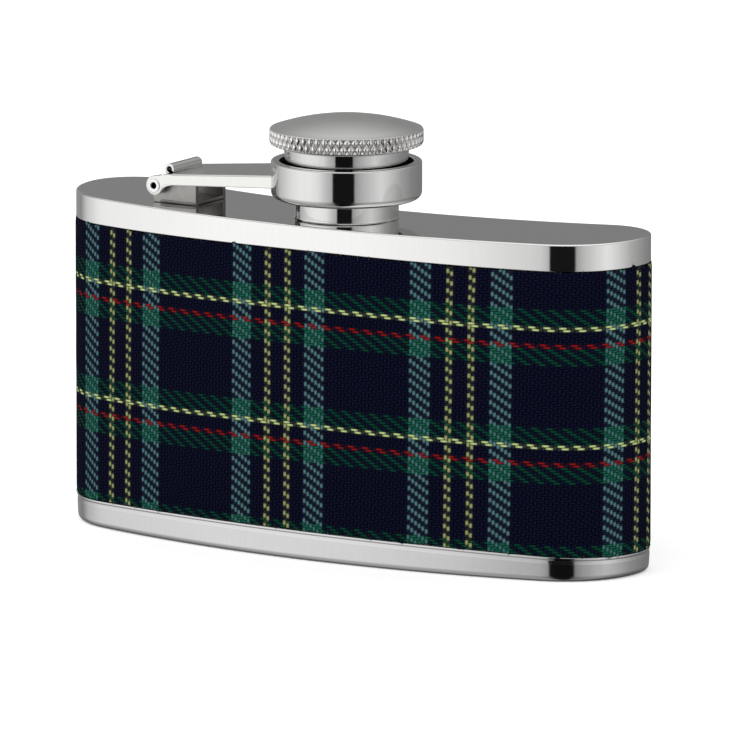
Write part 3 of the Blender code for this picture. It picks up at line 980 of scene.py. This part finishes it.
def makePin():
    reach = swingArm["halfWidth"] + hingePin["proud"]
    flush = swingArm["halfWidth"] - 0.02
    radius, bore, head = hingePin["radius"], hingePin["bore"], hingePin["head"]
    path = roundedPath([(bore, -reach, 0.14), (head, -reach, 0.12), (head, -flush, 0), (radius, -flush, 0),
                        (radius, flush, 0), (head, flush, 0), (head, reach, 0.12), (bore, reach, 0.14)])
    points, faces, wear = turned(path, 40)
    pinX, pinZ = swingArm["pin"]
    laid = [(pinX + x, neckAxis[1] + z, pinZ + y) for x, y, z in points]
    return makePiece("hinge_rivet", (laid, faces, wear), polishedSteel, "flask",
                     ["hinge_pin"])


makeArm()
makeBracket()
makePin()
print("flask: hinge riveted")


# Cloth: one woven strip pulled round the body, lapped behind, raw at both edges.

clothWrap = {
    "thickness": 0.33,
    "proud": 0.10,
    "gap": (0.14, 0.11),  # between the cloth and the lower and the upper rim
    "lap": 4.0,
    "columnStep": 0.45,
    "rows": 44,
    "endPitch": 29.6 / 52,
    "pickPitch": 17.23 / 48,
    "pairAt": -3.76,  # middle of the front pair of yellow lines
    "yellowAt": 37.62,  # height of a yellow cross line
    "sag": (0.32, 0.36),  # how much lower the cross lines run, in the middle and more at the ends
    "crossing": 0.55,  # how far the blue stripes turn green where they cross a green band
    "bleed": 0.10,  # how much of the crossing yarns shows through
    "lean": 0.0103,  # the ends lean this much to the left lower down
    "leanFrom": 43.56,  # the height where they start from
    "waver": 0.07,  # of the raw edges
    "puff": 0.035,
    "edgeRoll": 0.22,  # how near an edge the cloth thins and turns in
    "topTufts": ((-11.6, 0.42), (52.6, 0.5), (30.4, 0.14), (-41.0, 0.2)),
    "lowTufts": 22,
    "endTufts": 6,
}


def clothEdge(along, upper):
    # An uneven raw edge beside a rim: slow waver, fine picks and a few tufts.
    x, (lowGap, highGap) = planAt(along)[0], clothWrap["gap"]
    base = topRimEdge(x) - highGap if upper else bottomRimEdge(x) + lowGap
    seed, tufts, sign = (5.0, highTufts, 1) if upper else (2.0, lowTufts, -1)
    waver = noise.noise(Vector((along * 0.22, seed, 0))) * clothWrap["waver"]
    fine = noise.noise(Vector((along * 1.7, seed + 9, 0))) * clothWrap["waver"]
    tuft = sum(size * math.exp(-((along - place) / 0.42) ** 2) for place, size in tufts)
    return base + waver + fine + sign * tuft


def clothTufts():
    random.seed(41)
    count, endCount = clothWrap["lowTufts"], clothWrap["endTufts"]
    low = [(random.uniform(-halfRound, halfRound), random.uniform(0.10, 0.26)) for _ in range(count)]
    high = list(clothWrap["topTufts"])
    for side in (1, -1):
        high += [(side * random.uniform(60, halfRound), random.uniform(0.1, 0.25)) for _ in range(endCount)]
    return low, high


lowTufts, highTufts = clothTufts()


def makeCloth():
    halfLap, thickness, (lowGap, highGap) = clothWrap["lap"] / 2, clothWrap["thickness"], clothWrap["gap"]
    start, end = -halfRound - halfLap, halfRound + halfLap
    columns = round((end - start) / clothWrap["columnStep"])
    rows = clothWrap["rows"]
    points, across, up, sheets, heights = [], [], [], [], []
    for layer in (0, 1):
        grid = []
        for i in range(columns + 1):
            along = start + (end - start) * i / columns
            x, y, outX, outY = planAt(along)
            lowEdge, highEdge = clothEdge(along, False), clothEdge(along, True)
            sagShare = 1 - math.exp(-(x / topPan["rimGrowth"][1]) ** 2)
            lowLimit = bottomRimEdge(x) + lowGap - 0.1
            highLimit = topRimEdge(x) - highGap + 0.05
            heights.append(highEdge - lowEdge)
            rise = min(1.0, max(0.0, (along - halfRound + halfLap + 1.6) / 1.4))
            lift = rise * rise * (3 - 2 * rise)  # the end that lies on top of the lap
            column = []
            for j in range(rows + 1):
                share = j / rows
                share -= 0.035 * math.sin(fullTurn * share)  # rows crowd towards both raw edges
                z = lowEdge + (highEdge - lowEdge) * share
                rim = math.exp(-(min(z - lowEdge, highEdge - z) / clothWrap["edgeRoll"]) ** 2)
                puff = noise.noise(Vector((along * 0.18, z * 0.16, 3))) * clothWrap["puff"]
                proud = clothWrap["proud"] + puff * (1 - rim)
                over = max(z - highLimit, lowLimit - z, 0.0)  # tufts lie over the rim
                if layer == 0:
                    out = proud - 0.06 * rim + min(over * 0.8, 0.12)
                else:
                    out = proud - thickness + 0.04 * rim + min(over * 2.5, 0.3)
                out += lift * (thickness + 0.03)
                column.append(len(points))
                points.append((x + out * outX, y + out * outY, z))
                across.append(along)
                up.append(z + sagShare * clothWrap["sag"][1] + clothWrap["sag"][0])
            grid.append(column)
        sheets.append(grid)
    outer, inner = sheets
    faces = joinRings([front + back[::-1] for front, back in zip(outer, inner)], False)
    for k in (0, -1):  # the strip's two cut ends
        faces += [[outer[k][j], outer[k][j + 1], inner[k][j + 1], inner[k][j]] for j in range(rows)]
    part = (points, faces, [0.0] * len(points))
    piece = makePiece("tartan_wrap", part, tartanCloth, "flask", ["fabric_wrap"],
                      sharp=60, weighted=False)
    for name, values in (("clothAcross", across), ("clothUp", up)):
        piece.data.attributes.new(name, "FLOAT", "POINT").data.foreach_set("value", values)
    return piece, (sum(heights) / len(heights) * mm, (end - start) * mm)


tartan = {
    "warp": (26, ((0, "navy"), (2, "paleYellow"), (4, "navy"), (8, "blue"), (14, "navy"))),  # half a repeat
    "weft": (48, ((0, "brightYellow"), (2, "navy"), (7, "red"), (9, "green"), (16, "navy"), (41, "green"))),
    "navy": (0.0030, 0.0036, 0.0140),
    "blue": (0.052, 0.112, 0.125),
    "green": (0.0020, 0.031, 0.019),
    "paleYellow": (0.19, 0.21, 0.09),
    "brightYellow": (0.33, 0.41, 0.17),
    "red": (0.14, 0.006, 0.007),
    "crossed": (0.008, 0.088, 0.056, 1),  # blue over green
    "lint": (0.14, 0.15, 0.18, 1),
}


def stripes(tree, feed, direction, only=None):  # the yarn colours, or a mask of one of them
    count, sett = tartan[direction]
    stops = [(place / count, float(yarn == only) if only else tartan[yarn]) for place, yarn in sett]
    return ramp(tree, feed, stops, steps=True)


def makeTartan():
    material, tree, shader = newMaterial("tartanCloth")
    across, up = readValue(tree, "clothAcross"), readValue(tree, "clothUp")
    # a slow waver keeps the lines from being ruled
    waver = line(tree, grainNoise(tree, (13, 13, 9), 1.0), 0.36, -0.18)
    leaned = line(tree, up, -clothWrap["lean"], across)
    offset = clothWrap["leanFrom"] * clothWrap["lean"] - clothWrap["pairAt"]
    ends = calc(tree, "ADD", calc(tree, "ADD", leaned, offset), waver)
    picks = calc(tree, "ADD", calc(tree, "SUBTRACT", up, clothWrap["yellowAt"]),
                 times(tree, waver, 0.5))
    weave = put(tree, "Group", {"Ends": calc(tree, "DIVIDE", ends, clothWrap["endPitch"]),
                                "Picks": calc(tree, "DIVIDE", picks, clothWrap["pickPitch"])},
                node_tree=twillWeave).outputs
    half, repeat = float(tartan["warp"][0]), float(tartan["weft"][0])
    middle = calc(tree, "ADD", weave["End"], 0.5)
    folded = calc(tree, "DIVIDE", calc(tree, "ABSOLUTE", calc(tree, "WRAP", middle, half, -half)), half)
    down = calc(tree, "FLOORED_MODULO", calc(tree, "SUBTRACT", 0.5, weave["Pick"]), repeat)
    down = calc(tree, "DIVIDE", down, repeat)
    warp, weft = stripes(tree, folded, "warp"), stripes(tree, down, "weft")
    yarn = mixColour(tree, weave["WarpUp"], weft, warp)
    yarn = mixColour(tree, clothWrap["bleed"], yarn, mixColour(tree, 0.5, weft, warp))
    overBlue, overGreen = stripes(tree, folded, "warp", "blue"), stripes(tree, down, "weft", "green")
    crossing = times(tree, times(tree, overBlue, overGreen), clothWrap["crossing"])
    yarn = mixColour(tree, crossing, yarn, tartan["crossed"])
    # painted shade: each yarn's sides and the gaps between yarns are darkened and the crowns kept light,
    # with a mottle along the ply
    shade = calc(tree, "POWER", weave["Height"], 2.2)  # gaps between yarns are darker
    shade = line(tree, shade, 1.25, 0.10)
    shade = times(tree, shade, line(tree, weave["Ply"], 0.7, 0.65))
    lit = mixColour(tree, 1.0, yarn, shade, "MULTIPLY")
    dust = placeGroup(tree, fineDust, Amount=0.12)["Mask"]
    finishSurface(tree, shader, mixColour(tree, dust, lit, tartan["lint"]),
                  line(tree, weave["Ply"], -0.2, 0.92),
                  line(tree, weave["Ply"], 0.25, weave["Height"]), 0.55, 0.12)
    shader.inputs["Specular IOR Level"].default_value = 0.02
    return material


def makeFrayMaterial():
    material, tree, shader = newMaterial("frayedYarn")
    mottle = grainNoise(tree, (1.4, 1.4, 1.4), 2.0)
    tint = ramp(tree, mottle, [(0.35, (0.006, 0.008, 0.03)), (0.6, (0.006, 0.03, 0.03)),
                               (0.75, (0.02, 0.08, 0.06))])
    finishSurface(tree, shader, tint, line(tree, mottle, 0.2, 0.75), mottle, 0.3, 0.05)
    return material


frayEnds = {
    "count": 130,
    "radius": 0.05,
    "length": (0.15, 0.45),
    "root": 0.3,  # how far the ends start inside the cloth
    "upperShare": 0.4,
    "tuftShare": 0.45,  # how many of them stand on a tuft
    "spread": 0.5,
    "curl": 0.25,
    "sides": 5,
}


def makeFray():
    random.seed(17)
    spread, root, curl, sides = (frayEnds[key] for key in ("spread", "root", "curl", "sides"))
    parts = []
    for _ in range(frayEnds["count"]):
        along = random.uniform(-halfRound, halfRound)
        upper = random.random() < frayEnds["upperShare"]
        if random.random() < frayEnds["tuftShare"]:
            along = random.choice(highTufts if upper else lowTufts)[0] + random.uniform(-spread, spread)
        sign = 1 if upper else -1
        base = clothEdge(along, upper)
        length = random.uniform(*frayEnds["length"])
        slant = random.uniform(-spread, spread)
        bend = random.uniform(-curl, curl)
        points, rings = [], []
        for k in range(5):
            share = k / 4
            x, y, outX, outY = planAt(along + slant * share * length + bend * share ** 2)
            z = base - sign * root + sign * (root + length * 0.75) * share
            out = clothWrap["proud"] - 0.05 + 0.10 * math.sin(share * 2.2)
            radius = frayEnds["radius"] * (1 - 0.6 * share)
            first = len(points)
            for q in range(sides):
                slide, lift = onCircle((0, out), radius, fullTurn * q / sides)
                points.append((x + lift * outX - slide * outY, y + lift * outY + slide * outX, z))
            rings.append(list(range(first, len(points))))
        faces = joinRings(rings, False) + [rings[0], rings[-1][::-1]]
        parts.append((points, faces, [0.0] * len(points)))
    return makePiece("wrap_fray", mergeParts(parts), makeFrayMaterial(), "flask",
                     weighted=False)


tartanCloth = makeTartan()
wrap, cutSize = makeCloth()
fray = makeFray()
print("flask: cloth wrapped and frayed")


# CAD nodes that stay as they are, with a finished surface.

def finishNode(name, material):
    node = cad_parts[name]
    node.data.materials.clear()
    node.data.materials.append(material)


finishNode("body_shell", shellSteel)
finishNode("cap_clip", springSteel)


# Floor, light and camera.

studio = {
    "floorColour": (0.95, 0.95, 0.953),
    "floorGlow": 0.2,
    "floorSize": 6.0,
    "panelSize": 0.9,
    "keyPlace": (-0.5, -0.9, 1.1),
    "keyStrength": 5.0,
    "fillPlace": (1.0, -0.5, 0.7),
    "fillStrength": 1.6,
    "mirrorStrength": 1.5,  # the tent's brightness in the metal; it lights the rest at 1
    # the sweep as the metal sees it: degrees round and brightness, with a dark gap for the door
    "sweep": ((-180, 0.16), (-168, 0.155), (-148, 0.155), (-140, 0.22), (-108, 0.20), (-90, 0.46),
              (-75, 0.58), (-60, 0.71), (-43, 0.79), (-25, 0.78), (-12, 0.70), (-2, 0.52), (7, 0.41),
              (9.5, 0.37), (11, 0.006), (42.5, 0.006), (44.5, 0.28), (54, 0.40), (62, 0.46), (70, 0.53),
              (86, 0.64), (104, 0.50), (124, 0.32), (149, 0.21), (180, 0.16)),
    # degrees below and above the horizon, and brightness
    "below": ((0, 1.0), (13.5, 1.0), (18, 0.72), (35, 0.46), (60, 0.36)),
    "roof": ((0, 0.12), (22, 0.13), (38, 0.38), (55, 0.74), (85.5, 0.80)),
    "roofFrom": (17, 34),
}
cameraView = {
    "azimuth": 31.529,
    "elevation": 10.501,
    "distance": 1.7032,
    "target": (0.0, 0.0, 0.027),
    "lens": 562.26,
    "shift": (0.0540, -0.0098),
}


def makeFloor():
    half = studio["floorSize"] / 2
    mesh = bpy.data.meshes.new("studio_floor")
    corners = [(-half, -half, 0), (half, -half, 0), (half, half, 0), (-half, half, 0)]
    mesh.from_pydata(corners, [], [(0, 1, 2, 3)])
    floor = bpy.data.objects.new("studio_floor", mesh)
    bpy.context.collection.objects.link(floor)
    material, tree, shader = newMaterial("paleFloor")
    cloud = grainNoise(tree, (60, 60, 60), 2.0)
    high = studio["floorColour"]
    low = [value - 0.004 for value in high]
    tree.links.new(ramp(tree, cloud, [(0.3, low), (0.7, high)]), shader.inputs["Base Color"])
    shader.inputs["Roughness"].default_value = 0.9
    shader.inputs["Specular IOR Level"].default_value = 0.0
    shader.inputs["Emission Color"].default_value = (1, 1, 1, 1)
    shader.inputs["Emission Strength"].default_value = studio["floorGlow"]
    mesh.materials.append(material)
    floor.visible_glossy = False


def makeTent():
    # A white sweep round the horizon with a dark gap in it, under a dimmer grey roof.
    world = bpy.data.worlds.new("lightTent")
    bpy.context.scene.world = world
    world.use_nodes = True
    tree = world.node_tree
    tree.nodes.clear()
    way = put(tree, "SeparateXYZ", {0: put(tree, "TexCoord").outputs["Generated"]}).outputs
    angle = calc(tree, "ARCTAN2", way[0], times(tree, way[1], -1.0))
    share = line(tree, angle, 1 / fullTurn, 0.5)
    height = calc(tree, "MAXIMUM", calc(tree, "MINIMUM", way[2], 1.0), -1.0)
    rise = calc(tree, "DIVIDE", calc(tree, "ARCSINE", height), math.pi / 2)  # 1 straight up
    lower = ramp(tree, share, [(degrees / 360 + 0.5, value) for degrees, value in studio["sweep"]])
    below = [(degrees / 90, value) for degrees, value in studio["below"]]
    lower = mixColour(tree, 1.0, lower, ramp(tree, times(tree, rise, -1.0), below), "MULTIPLY")
    roof = ramp(tree, rise, [(degrees / 90, value) for degrees, value in studio["roof"]])
    roofLow, roofHigh = (degrees / 90 for degrees in studio["roofFrom"])
    overhead = put(tree, "MapRange", {0: rise, 1: roofLow, 2: roofHigh, 3: 0.0, 4: 1.0}).outputs[0]
    seen = mixColour(tree, overhead, lower, roof)
    mirror = put(tree, "Background", {"Color": seen, "Strength": studio["mirrorStrength"]})
    plain = put(tree, "Background", {"Color": (1.0, 1.0, 1.0, 1), "Strength": 1.0})
    path = put(tree, "LightPath").outputs
    choose = put(tree, "MixShader", {0: path["Is Glossy Ray"], 1: plain.outputs[0], 2: mirror.outputs[0]})
    tree.links.new(choose.outputs[0], put(tree, "OutputWorld").inputs["Surface"])


def addSoftLight(name, place, strength):
    light = bpy.data.lights.new(name, "AREA")
    light.shape = "DISK"
    light.size = studio["panelSize"]
    light.energy = strength
    lamp = bpy.data.objects.new(name, light)
    lamp.location = place
    lamp.rotation_mode = "QUATERNION"
    lamp.rotation_quaternion = (Vector((0, 0, 0.03)) - Vector(place)).to_track_quat("-Z", "Y")
    lamp.visible_glossy = False
    lamp.visible_camera = False
    bpy.context.collection.objects.link(lamp)


def makeCamera():
    a, e = math.radians(cameraView["azimuth"]), math.radians(cameraView["elevation"])
    back = Vector((math.sin(a) * math.cos(e), -math.cos(a) * math.cos(e), math.sin(e)))
    camera = bpy.data.cameras.new("viewCamera")
    camera.lens = cameraView["lens"]
    camera.sensor_width = 36.0
    camera.shift_x, camera.shift_y = cameraView["shift"]
    camera.clip_start, camera.clip_end = 0.05, 20.0
    holder = bpy.data.objects.new("viewCamera", camera)
    holder.location = Vector(cameraView["target"]) + back * cameraView["distance"]
    holder.rotation_mode = "QUATERNION"
    holder.rotation_quaternion = (-back).to_track_quat("-Z", "Y")
    bpy.context.collection.objects.link(holder)
    bpy.context.scene.camera = holder


makeFloor()
makeTent()
addSoftLight("keyPanel", studio["keyPlace"], studio["keyStrength"])
addSoftLight("fillPanel", studio["fillPlace"], studio["fillStrength"])
makeCamera()
bpy.context.scene.view_settings.view_transform = "Standard"
print("flask: studio set")
